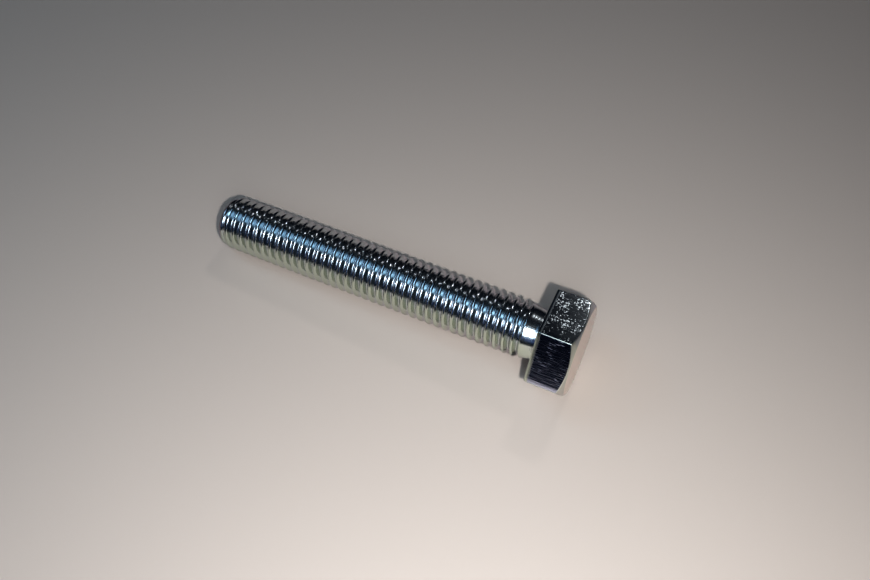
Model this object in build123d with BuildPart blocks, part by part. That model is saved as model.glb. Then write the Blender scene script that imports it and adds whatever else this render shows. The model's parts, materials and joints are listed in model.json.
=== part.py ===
from build123d import *
from math import atan, cos, radians, sin, tan
import os

# Fully threaded hex head screw, M8 x 50: one piece of cold-formed, zinc-plated steel.
# All sizes are in millimetres and degrees.

# Head
across_flats = 12.9
head_sides = 6
head_height = 5.3
end_face_diameter = 12.2
chamfer_angle = 30
# Shank, with its lengths measured from the bearing face under the head
shank_length = 50.0
crest_diameter = 7.9
neck_diameter = 7.15
neck_length = 1.3
run_out_length = 0.6
underhead_radius = 0.4
# Point, at the free end of the shank
point_diameter = 6.2
point_length = 1.2
point_edge_radius = 0.35
# How far a cutting profile reaches past the metal that it trims
cut_clearance = 1.0

apothem = across_flats / 2
half_side_angle = 180 / head_sides
corner_radius = apothem / cos(radians(half_side_angle))
end_face_radius = end_face_diameter / 2
crest_radius = crest_diameter / 2
neck_radius = neck_diameter / 2
point_radius = point_diameter / 2
thread_start = neck_length + run_out_length
thread_end = shank_length - point_length

# The screw lies on one flat of its head and on the last crest of its thread, so its
# axis falls a little from the head towards the point.
tilt = atan((apothem - crest_radius) / thread_end)

# The origin is on the table, under the middle of the screw's length.
middle = (shank_length - head_height) / 2
corner_shift = (point_radius - end_face_radius) / 2
bearing_x = middle * cos(tilt) + corner_shift * sin(tilt)
bearing_z = apothem * cos(tilt)

# Bearing face: its normal points along the shank, and its X points up to a head flat.
bearing = Plane(
    origin=(bearing_x, 0, bearing_z),
    x_dir=(-sin(tilt), 0, cos(tilt)),
    z_dir=(-cos(tilt), 0, -sin(tilt)),
)
screw_axis = Axis(bearing.origin, bearing.z_dir)
# Half section: X runs along the shank from the bearing face, and Y up from the axis.
section = Plane(origin=bearing.origin, x_dir=bearing.z_dir, z_dir=bearing.y_dir)

with BuildPart() as hex_screw:
    # Hexagonal head, with one flat underneath
    with BuildSketch(bearing.offset(-head_height)):
        RegularPolygon(apothem, head_sides, major_radius=False, rotation=half_side_angle)
    extrude(amount=head_height)

    # Cone that trims the corners of the end face down to a circle
    cone_radius = corner_radius + cut_clearance
    cone_depth = (cone_radius - end_face_radius) * tan(radians(chamfer_angle))
    with BuildSketch(section):
        with BuildLine():
            Polyline(
                (0, 0),
                (-head_height, 0),
                (-head_height, end_face_radius),
                (cone_depth - head_height, cone_radius),
                (0, cone_radius),
                close=True,
            )
        make_face()
    revolve(axis=screw_axis, mode=Mode.INTERSECT)

    # Shank: fillet under the head, plain neck, run-out, thread envelope and point
    with BuildSketch(section):
        with BuildLine():
            fillet_top = (0, neck_radius + underhead_radius)
            fillet_foot = (underhead_radius, neck_radius)
            RadiusArc(fillet_top, fillet_foot, -underhead_radius)
            Polyline(
                fillet_foot,
                (neck_length, neck_radius),
                (thread_start, crest_radius),
                (thread_end, crest_radius),
                (shank_length, point_radius),
                (shank_length, 0),
                (0, 0),
                fillet_top,
            )
        make_face()
    revolve(axis=screw_axis)

    # Rolled edge of the point
    point_face = hex_screw.faces().filter_by(bearing).sort_by(screw_axis)[-1]
    fillet(point_face.edges(), radius=point_edge_radius)

hex_screw.part.label = "hex_screw"
os.makedirs("parts", exist_ok=True)
export_step(hex_screw.part, "parts/hex_screw.step")
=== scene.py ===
import json
from math import atan2, cos, hypot, pi, radians, sin, sqrt, tan

import bmesh
import bpy
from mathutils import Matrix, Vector


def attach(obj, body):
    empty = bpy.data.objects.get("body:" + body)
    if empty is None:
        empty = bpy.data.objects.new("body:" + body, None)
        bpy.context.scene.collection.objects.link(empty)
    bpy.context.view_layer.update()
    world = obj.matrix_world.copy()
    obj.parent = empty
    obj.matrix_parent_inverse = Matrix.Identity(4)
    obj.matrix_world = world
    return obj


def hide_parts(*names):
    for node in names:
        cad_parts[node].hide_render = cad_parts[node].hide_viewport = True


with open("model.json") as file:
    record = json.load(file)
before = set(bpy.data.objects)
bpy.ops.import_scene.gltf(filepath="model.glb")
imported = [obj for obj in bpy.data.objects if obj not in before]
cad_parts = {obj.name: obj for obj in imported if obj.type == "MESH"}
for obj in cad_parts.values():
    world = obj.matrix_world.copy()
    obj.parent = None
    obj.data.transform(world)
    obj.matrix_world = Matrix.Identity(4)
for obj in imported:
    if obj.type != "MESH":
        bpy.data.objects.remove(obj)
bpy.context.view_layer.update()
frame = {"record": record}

# ---------------------------------------------------------------- The screw
# A hex head screw, M8 x 50, threaded up to its head: one piece of steel wire. The head
# is pressed and trimmed to a hexagon, the thread is rolled, and zinc is plated over all
# of it.

# Sizes are in millimetres. A distance t is measured along the axis from the bearing face
# under the head, and is positive towards the point.
mm = 0.001
mounts = {mount["name"]: mount for mount in frame["record"]["mounts"]}
axis = Vector(mounts["thread"]["axis"]).normalized()
side = Vector((0, 1, 0))
up = side.cross(axis)
on_axis = Vector(mounts["thread"]["pos_m"])
on_face = Vector(mounts["bearing_face"]["pos_m"])
bearing = on_axis + axis * (on_face - on_axis).dot(axis)

# Every round of vertices has this many columns, shared out evenly over the six flats.
columns = 96
head_sides = 6
flat_columns = columns // head_sides


def place(t, high, wide):
    """Point at a distance along the axis, a height above it and a width beside it."""
    return bearing + (axis * t + up * high + side * wide) * mm


def soft_min(a, b, width):
    """The smaller of two values, rounded off where they are closer than the width."""
    blend = max(width - abs(a - b), 0) / width
    return min(a, b) - blend * blend * width / 4


def ramp(value, low, high):
    """Rises smoothly from 0 at the low value to 1 at the high one."""
    x = min(max((value - low) / (high - low), 0), 1)
    return x * x * (3 - 2 * x)


# Thread: 60 degrees between its flanks, with broad round crests and narrow round roots
pitch = 1.25
flank_angle = radians(30)
crest_radius = 3.95
crest_half_flat = 0.14
crest_rounding = 0.2
root_radius = 3.25
root_rounding = 0.14
thread_phase = -0.2


def thread_radius(from_crest):
    """Radius of the full thread at this distance along the axis from a crest's middle."""
    x = abs((from_crest + pitch / 2) % pitch - pitch / 2)
    to_root = pitch / 2 - x
    if to_root < root_rounding * cos(flank_angle):
        return root_radius + root_rounding - sqrt(root_rounding**2 - to_root**2)
    flank = crest_radius - (x - crest_half_flat) / tan(flank_angle)
    return soft_min(crest_radius, flank, crest_rounding)


# Shank: the plain wire of the neck, the run-out where the thread begins, the low crests
# near its end, and the cone of the point
shank_length = 50.0
thread_start, thread_end = 1.1, 49.7
fillet_radius = 0.35
neck_radius = 3.46
neck_length = 2.0
neck_slope = 0.17
run_out_start, run_out_end = 1.8, 2.9
low_crest_start, low_crest_end, low_crest_drop = 45.5, 49, 0.09
low_crest_rounding = 0.08
point_start = 48.8
point_radius = 3.1
point_rounding = 0.25
point_slope = (crest_radius - point_radius) / (shank_length - point_start)


def neck_surface(t):
    """Radius of the plain wire, which widens from the fillet to the first full thread."""
    return neck_radius + neck_slope * (min(t, neck_length) - fillet_radius)


def shank_radius(t, turn):
    """Radius of the shank, a number of turns round from the top."""
    wire = neck_surface(t)
    full = thread_radius(t - thread_phase - pitch * turn)
    threaded = wire + ramp(t, run_out_start, run_out_end) * (full - wire)
    highest = crest_radius - low_crest_drop * ramp(t, low_crest_start, low_crest_end)
    cone = crest_radius - (t - point_start) * point_slope
    return soft_min(soft_min(threaded, highest, low_crest_rounding), cone, point_rounding)


mesh = bmesh.new()


def lathe(profile, climb=0):
    """Spins points, each (t, radius), once round the axis, and returns all its vertices."""
    made_before = set(mesh.verts)
    line = [mesh.verts.new(place(t, radius, 0)) for t, radius in profile]
    edges = [mesh.edges.new(pair) for pair in zip(line, line[1:])]
    bmesh.ops.spin(
        mesh,
        geom=line + edges,
        cent=bearing,
        axis=axis,
        dvec=axis * (climb / columns * mm),
        angle=2 * pi,
        steps=columns,
    )
    return [vert for vert in mesh.verts if vert not in made_before]


def angle_of(vert):
    """Angle of a vertex round the axis, from the top towards the side."""
    offset = vert.co - bearing
    return atan2(offset.dot(side), offset.dot(up))


def cut_thread(blank, start, end):
    """Brings the vertices of a round blank in to the thread, between two distances."""
    for vert in blank:
        offset = (vert.co - bearing) / mm
        t = min(max(offset.dot(axis), start), end)
        angle = angle_of(vert)
        radius = hypot(offset.dot(side), offset.dot(up))
        radius = min(radius, shank_radius(t, angle / (2 * pi)))
        vert.co = place(t, radius * cos(angle), radius * sin(angle))


def rounded_corner(start, corner, end, steps):
    """Points, each (t, radius), of the curve that rounds a corner from start to end."""
    points = []
    for step in range(steps + 1):
        f = step / steps
        weights = ((1 - f) ** 2, 2 * f * (1 - f), f * f)
        points.append([
            sum(weight * point[k] for weight, point in zip(weights, (start, corner, end)))
            for k in range(2)
        ])
    return points


# Point: the last, unfinished thread, and the cut end of the wire with its rolled edge
edge_length = 0.22
edge_depth = 0.25
edge_start = (shank_length - edge_length, point_radius + edge_length * point_slope)
edge_corner = (shank_length, point_radius)
edge_end = (shank_length, point_radius - edge_depth)
point_profile = [(thread_end, crest_radius), (thread_end + 0.04, crest_radius)]
point_profile += rounded_corner(edge_start, edge_corner, edge_end, 4)
point_rings = (2.7, 1.4, 0)
point_profile += [(shank_length, radius) for radius in point_rings]
cut_thread(lathe(point_profile), thread_end, shank_length)

# Neck, and the fillet that joins it to the bearing face
neck_rings = (thread_start, 0.98, 0.7, 0.42)
neck_profile = [(t, neck_surface(t)) for t in neck_rings]
fillet_steps = 4
for step in range(fillet_steps + 1):
    turn = radians(90) * step / fillet_steps
    t = fillet_radius * (1 - sin(turn))
    neck_profile.append((t, neck_radius + fillet_radius * (1 - cos(turn))))
lathe(neck_profile)

# Head: a hexagon whose corners are turned down to a round end face
apothem = 6.45
head_height = 5.3
end_face_radius = 6.1
cone_angle = radians(30)
ridge_rounding = 0.16
ridge_columns = 4


def hexagon(inset):
    """Outline of the head, with round ridges, as one (high, wide) for each column."""
    reach = (apothem - ridge_rounding) / cos(pi / head_sides)
    rounding = max(ridge_rounding - inset, 0)
    shrink = 1
    if inset > ridge_rounding:
        shrink = (apothem - inset) / (apothem - ridge_rounding)
    outline = [None] * columns
    half_ridge = ridge_columns // 2
    ridges = [flat_columns // 2 + ridge * flat_columns for ridge in range(head_sides)]
    for middle in ridges:
        turn = 2 * pi * middle / columns
        centre = Vector((cos(turn), sin(turn))) * reach
        for step in range(-half_ridge, half_ridge + 1):
            lean = turn + pi / head_sides * step / half_ridge
            corner = centre + Vector((cos(lean), sin(lean))) * rounding
            outline[(middle + step) % columns] = corner * shrink
    for middle in ridges:
        first = middle + half_ridge
        last = middle + flat_columns - half_ridge
        for column in range(first + 1, last):
            f = (column - first) / (last - first)
            ends = outline[first % columns], outline[last % columns]
            outline[column % columns] = ends[0].lerp(ends[1], f)
    return outline


def hexagon_row(t, inset):
    return [place(t, spot.x, spot.y) for spot in hexagon(inset)]


def extrude_rows(rows):
    """Extrudes a ring of vertices through rows of points, each with one a column."""
    half_column = pi / columns
    ring = [mesh.verts.new(point) for point in rows[0]]
    edges = [mesh.edges.new((ring[column - 1], ring[column])) for column in range(columns)]
    for row in rows[1:]:
        made = bmesh.ops.extrude_edge_only(mesh, edges=edges)["geom"]
        edges = [part for part in made if isinstance(part, bmesh.types.BMEdge)]
        ring = [part for part in made if isinstance(part, bmesh.types.BMVert)]
        ring.sort(key=lambda vert: (angle_of(vert) + half_column) % (2 * pi))
        for vert, point in zip(ring, row):
            vert.co = point


# Bearing face, and the lower edge of the head, which the die leaves rolled over
roll_length, roll_depth, roll_steps = 0.6, 0.15, 5
bearing_rings = (neck_radius + fillet_radius, 4.05)
bearing_inset = roll_depth + 0.06
head_rows = []
for radius in bearing_rings:
    turns = [2 * pi * column / columns for column in range(columns)]
    head_rows.append([place(0, radius * cos(turn), radius * sin(turn)) for turn in turns])
head_rows.append(hexagon_row(0, bearing_inset))
for step in range(roll_steps + 1):
    turn = radians(90) * step / roll_steps
    head_rows.append(hexagon_row(-roll_length * (1 - cos(turn)), roll_depth * (1 - sin(turn))))

# Flats, from the rolled edge to where the cone cuts each column of them
edge = 0.1
clearance = 0.05
outline = hexagon(0)
directions = [spot.normalized() for spot in outline]
cuts = [(spot.length - end_face_radius) * tan(cone_angle) - head_height for spot in outline]
flat_start = -roll_length - clearance
for f in (0, 0.33, 0.66, 1):
    stops = [(1 - f) * flat_start + f * (cut + edge + clearance) for cut in cuts]
    head_rows.append([place(t, spot.x, spot.y) for t, spot in zip(stops, outline)])

# Edge between flat and cone, the cone itself, and the edge of the end face
edge_steps = 3
cone_step = Vector((sin(cone_angle), cos(cone_angle))) * edge
corners = [
    rounded_corner(
        (cut + edge, spot.length),
        (cut, spot.length),
        (cut - cone_step.x, spot.length - cone_step.y),
        edge_steps,
    )
    for cut, spot in zip(cuts, outline)
]
for step in range(edge_steps + 1):
    head_rows.append([
        place(corner[step][0], *(direction * corner[step][1]))
        for corner, direction in zip(corners, directions)
    ])
face_edge = 0.06
end_rows = rounded_corner(
    (face_edge * tan(cone_angle) - head_height, end_face_radius + face_edge),
    (-head_height, end_face_radius),
    (-head_height, end_face_radius - 0.08),
    edge_steps,
)
end_rings = (end_face_radius - 0.12, 3.5, 0)
end_rows += [(-head_height, radius) for radius in end_rings]
for t, radius in end_rows:
    head_rows.append([place(t, *(direction * radius)) for direction in directions])
extrude_rows(head_rows)

# Full thread, rolled last: its blank climbs one pitch in a turn, so that the rows of
# vertices follow the helix. They are close together on the crest and in the root.
half_rows = (0, 0.035, 0.08, 0.125, 0.17, 0.215, 0.26, 0.5, 0.53, 0.56, 0.59, 0.625)
turn_rows = half_rows + tuple(pitch - row for row in reversed(half_rows[1:-1]))
spare_turns = 2
first_turn = -spare_turns
last_turn = int(thread_end / pitch) + spare_turns
blank_profile = [
    (thread_phase + turn * pitch + row, crest_radius)
    for turn in range(first_turn, last_turn)
    for row in turn_rows
]
cut_thread(lathe(blank_profile, climb=pitch), thread_start, thread_end)

merge_distance = 0.0005 * mm
bmesh.ops.remove_doubles(mesh, verts=mesh.verts, dist=merge_distance)
bmesh.ops.recalc_face_normals(mesh, faces=mesh.faces)
for face in mesh.faces:
    face.smooth = True
screw_mesh = bpy.data.meshes.new("screw")
mesh.to_mesh(screw_mesh)
mesh.free()
screw = bpy.data.objects.new("screw", screw_mesh)
bpy.context.collection.objects.link(screw)


class Signal:
    """One output of a shader node. Arithmetic on it adds Math nodes to the same tree."""

    def __init__(self, tree, socket):
        self.tree = tree
        self.socket = socket

    def node(self, kind, sockets, output=0, **settings):
        """Adds a node with these settings, numbers or signals, and returns one output."""
        added = self.tree.nodes.new(kind)
        for name, value in settings.items():
            setattr(added, name, value)
        for name, value in sockets.items():
            if isinstance(value, Signal):
                self.tree.links.new(value.socket, added.inputs[name])
            else:
                added.inputs[name].default_value = value
        return Signal(self.tree, added.outputs[output])

    def math(self, operation, *others):
        sockets = dict(enumerate((self, *others)))
        return self.node("ShaderNodeMath", sockets, operation=operation)

    def vector(self, operation, other, output="Vector"):
        sockets = {0: self, 1: other}
        return self.node("ShaderNodeVectorMath", sockets, output, operation=operation)

    def __add__(self, other):
        return self.math("ADD", other)

    __radd__ = __add__

    def __mul__(self, other):
        return self.math("MULTIPLY", other)

    __rmul__ = __mul__

    def __sub__(self, other):
        return self.math("SUBTRACT", other)

    def __rsub__(self, other):
        return self * -1 + other


# Bright zinc: mirror-like on the pressed flats, a little softer on the rolled thread.
# Positions on the screw are in millimetres, along the axis, above it and beside it.
zinc = bpy.data.materials.new("bright_zinc")
zinc.use_nodes = True
tree = zinc.node_tree
shader = tree.nodes["Principled BSDF"]
coordinates = tree.nodes.new("ShaderNodeTexCoord")
position = Signal(tree, coordinates.outputs["Object"])
offset = position.vector("SUBTRACT", bearing).vector("DIVIDE", (mm, mm, mm))
along = offset.vector("DOT_PRODUCT", axis, output="Value")
high = offset.vector("DOT_PRODUCT", up, output="Value")
wide = offset.vector("DOT_PRODUCT", side, output="Value")


def noise(stretch, scale, detail):
    """Noise of this scale to a millimetre, drawn out along the axis by a small stretch."""
    where = along.node("ShaderNodeCombineXYZ", {"X": along * stretch, "Y": wide, "Z": high})
    sockets = {"Vector": where, "Scale": scale, "Detail": detail}
    return where.node("ShaderNodeTexNoise", sockets, output="Fac")


def fade(signal, low, high):
    """Goes smoothly from 0, where the signal is low, to 1, where it is high."""
    sockets = {"Value": signal, "From Min": low, "From Max": high}
    return signal.node("ShaderNodeMapRange", sockets, interpolation_type="SMOOTHSTEP")


def mix(factor, first, second):
    """Goes from the first colour, at a factor of 0, to the second."""
    sockets = {"Factor": factor, 6: first, 7: second}
    return factor.node("ShaderNodeMix", sockets, output=2, data_type="RGBA")


# Where on the screw: a point on a flat is as far out as the apothem, and one on a ridge,
# a rolled edge or the cone is less far out.
flat_turns = [radians(60 * k) for k in range(3)]
reaches = [(high * cos(turn) + wide * sin(turn)).math("ABSOLUTE") for turn in flat_turns]
reach = reaches[0].math("MAXIMUM", reaches[1]).math("MAXIMUM", reaches[2])
on_head = fade(along, -0.2, -0.5)
on_flats = on_head * fade(reach, apothem - 0.007, apothem - 0.001)
on_top = fade(high, apothem - 0.25, apothem - 0.05)
on_end_face = fade(along, 0.1 - head_height, 0.02 - head_height)
on_side_flats = (1 - on_top) * on_flats
above_middle = fade(high, -0.4, 0.4)
on_point = fade(along, shank_length - 1, shank_length - 0.3)
# The near side, where the table's reflection is painted in a greener colour
near_side = fade(wide, -2.8, -3.7) * (1 - on_flats)

# Marks: pits in patches on the upper flat, scratches along the others, and in relief the
# die's streaks on the flats and the rolls' rings on the shank
patches = noise(1, 0.5, 1)
pits = fade(noise(1, 5.2, 1.5) + patches * 0.35, 0.765, 0.87) * on_top * on_flats
scratches = fade(noise(0.1, 9, 2) + patches * 0.3, 0.75, 0.86) * on_side_flats
die_streaks = noise(0.08, 6, 2) * 0.006
roll_rings = noise(6, 1.2, 1.5) * 0.014
relief = on_flats * die_streaks + (1 - on_head) * roll_rings
bump = relief.node("ShaderNodeBump", {"Height": relief, "Distance": mm, "Strength": 1.0})
tree.links.new(bump.socket, shader.inputs["Normal"])

shank_roughness, edge_roughness, flat_roughness = 0.175, 0.275, 0.08
added_by_pits, added_by_scratches = 0.22, 0.28
roughness = (
    shank_roughness
    + (on_head - on_flats) * (edge_roughness - shank_roughness)
    + on_flats * (flat_roughness - shank_roughness)
    + pits * added_by_pits
    + scratches * added_by_scratches
)
tree.links.new(roughness.socket, shader.inputs["Roughness"])
shader.inputs["Metallic"].default_value = 1.0
shader.inputs["Specular Tint"].default_value = (0.78, 0.72, 0.78, 1)

# The zinc's own colour, with painted light over it: a painted greenish reflection of the
# table along its near side, lighter on the head's near edges, a painted bluish reflection
# on the upper side flats, a painted warm reflection of the lit table on the end face, and
# painted shade that darkens the point.
shank_colour = (0.54, 0.58, 0.60, 1)
near_shank_painted_reflection = (0.575, 0.625, 0.535, 1)
near_edge_painted_reflection = (0.68, 0.715, 0.64, 1)
side_flat_painted_reflection = (0.50, 0.53, 0.66, 1)
end_face_painted_reflection = (1, 0.96, 0.82, 1)
point_painted_shade = (0.30, 0.29, 0.32, 1)
# Painted greenish reflection of the table along the near side, lighter on the head's edges
tint = mix(near_side, shank_colour, near_shank_painted_reflection)
tint = mix(near_side * on_head, tint, near_edge_painted_reflection)
# Painted bluish reflection on the upper side flats
tint = mix(on_side_flats * above_middle, tint, side_flat_painted_reflection)
# Painted warm reflection of the lit table on the end face
tint = mix(on_end_face, tint, end_face_painted_reflection)
# Painted shade that darkens the point
tint = mix(on_point, tint, point_painted_shade)
tree.links.new(tint.socket, shader.inputs["Base Color"])
screw_mesh.materials.append(zinc)

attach(screw, "root")
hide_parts("hex_screw")

# ---------------------------------------------------------------- The table
# A plain pale table top of laminate, smooth but not glossy. It is part of the stage, and
# the screw lies on it.
table_reach = 1.5
laminate_colour = (0.505, 0.41, 0.35, 1)
laminate_roughness = 0.6
table_mesh = bpy.data.meshes.new("table_top")
table = bmesh.new()
bmesh.ops.create_grid(table, x_segments=1, y_segments=1, size=table_reach)
table.to_mesh(table_mesh)
table.free()
table_top = bpy.data.objects.new("table_top", table_mesh)
bpy.context.collection.objects.link(table_top)
laminate = bpy.data.materials.new("pale_laminate")
laminate.use_nodes = True
laminate_shader = laminate.node_tree.nodes["Principled BSDF"]
laminate_shader.inputs["Base Color"].default_value = laminate_colour
laminate_shader.inputs["Roughness"].default_value = laminate_roughness
table_mesh.materials.append(laminate)

# ---------------------------------------------------------------- The camera
# It looks down on the screw from the front, with the head to the right and nearer.
camera_place = (0.03184, -0.06159, 0.10309)
camera_turn = (34.798, -1.781, 25.265)
camera_data = bpy.data.cameras.new("camera")
camera_data.sensor_width = 36
camera_data.lens = 35.04
camera_data.clip_start = 0.01
camera = bpy.data.objects.new("camera", camera_data)
camera.location = camera_place
camera.rotation_euler = [radians(angle) for angle in camera_turn]
bpy.context.collection.objects.link(camera)
bpy.context.scene.camera = camera


# ---------------------------------------------------------------- The lights
# Soft studio light: each lamp is a round or oval area, in metres and watts, and faces
# the point that it is aimed at. The metal mirrors the large dim ones as broad tones, and
# the small bright ones give the shadows and the glints.
def lamp(name, where, aim, width, power, colour, height=None):
    light = bpy.data.lights.new(name, "AREA")
    light.shape = "ELLIPSE"
    light.size = width
    light.size_y = height or width
    light.energy = power
    light.color = colour
    holder = bpy.data.objects.new(name, light)
    holder.location = where
    holder.rotation_euler = (Vector(where) - Vector(aim)).to_track_quat("Z", "Y").to_euler()
    bpy.context.collection.objects.link(holder)


lamp(
    "key",
    where=(0.0443, -0.0664, 0.1031),
    aim=(0.0443, -0.0664, 0),
    width=0.0045,
    power=0.145,
    colour=(0.92, 0.97, 1),
)
lamp(
    "key_glow",
    where=(0.046, -0.077, 0.107),
    aim=(0.01, 0, 0.01),
    width=0.055,
    height=0.08,
    power=0.064,
    colour=(0.74, 0.88, 1),
)
lamp(
    "ceiling_lamp",
    where=(0, 0.30, 0.375),
    aim=(0, 0, 0),
    width=0.014,
    power=0.14,
    colour=(0.96, 0.98, 1),
)
lamp(
    "ceiling_shade",
    where=(0, 0.30, 0.376),
    aim=(0, 0, 0),
    width=0.045,
    power=0.01,
    colour=(0.96, 0.98, 1),
)
lamp(
    "window",
    where=(-0.25, -0.04, 0.28),
    aim=(0, 0, 0),
    width=0.10,
    power=0.11,
    colour=(0.5, 0.78, 1),
)
lamp(
    "sky",
    where=(-0.13, -0.05, 0.32),
    aim=(0, 0, 0),
    width=0.26,
    height=0.1,
    power=0.095,
    colour=(0.42, 0.7, 1),
)
lamp(
    "far_wall",
    where=(0, -0.5, 0.31),
    aim=(0, 0, 0),
    width=0.4,
    power=0.08,
    colour=(0.28, 0.45, 1),
)

room_colour = (0.005, 0.0065, 0.011, 1)
room = bpy.data.worlds.new("room")
room.use_nodes = True
room.node_tree.nodes["Background"].inputs["Color"].default_value = room_colour
bpy.context.scene.world = room
bpy.context.scene.view_settings.view_transform = "Standard"
bpy.context.scene.view_settings.look = "Medium High Contrast"
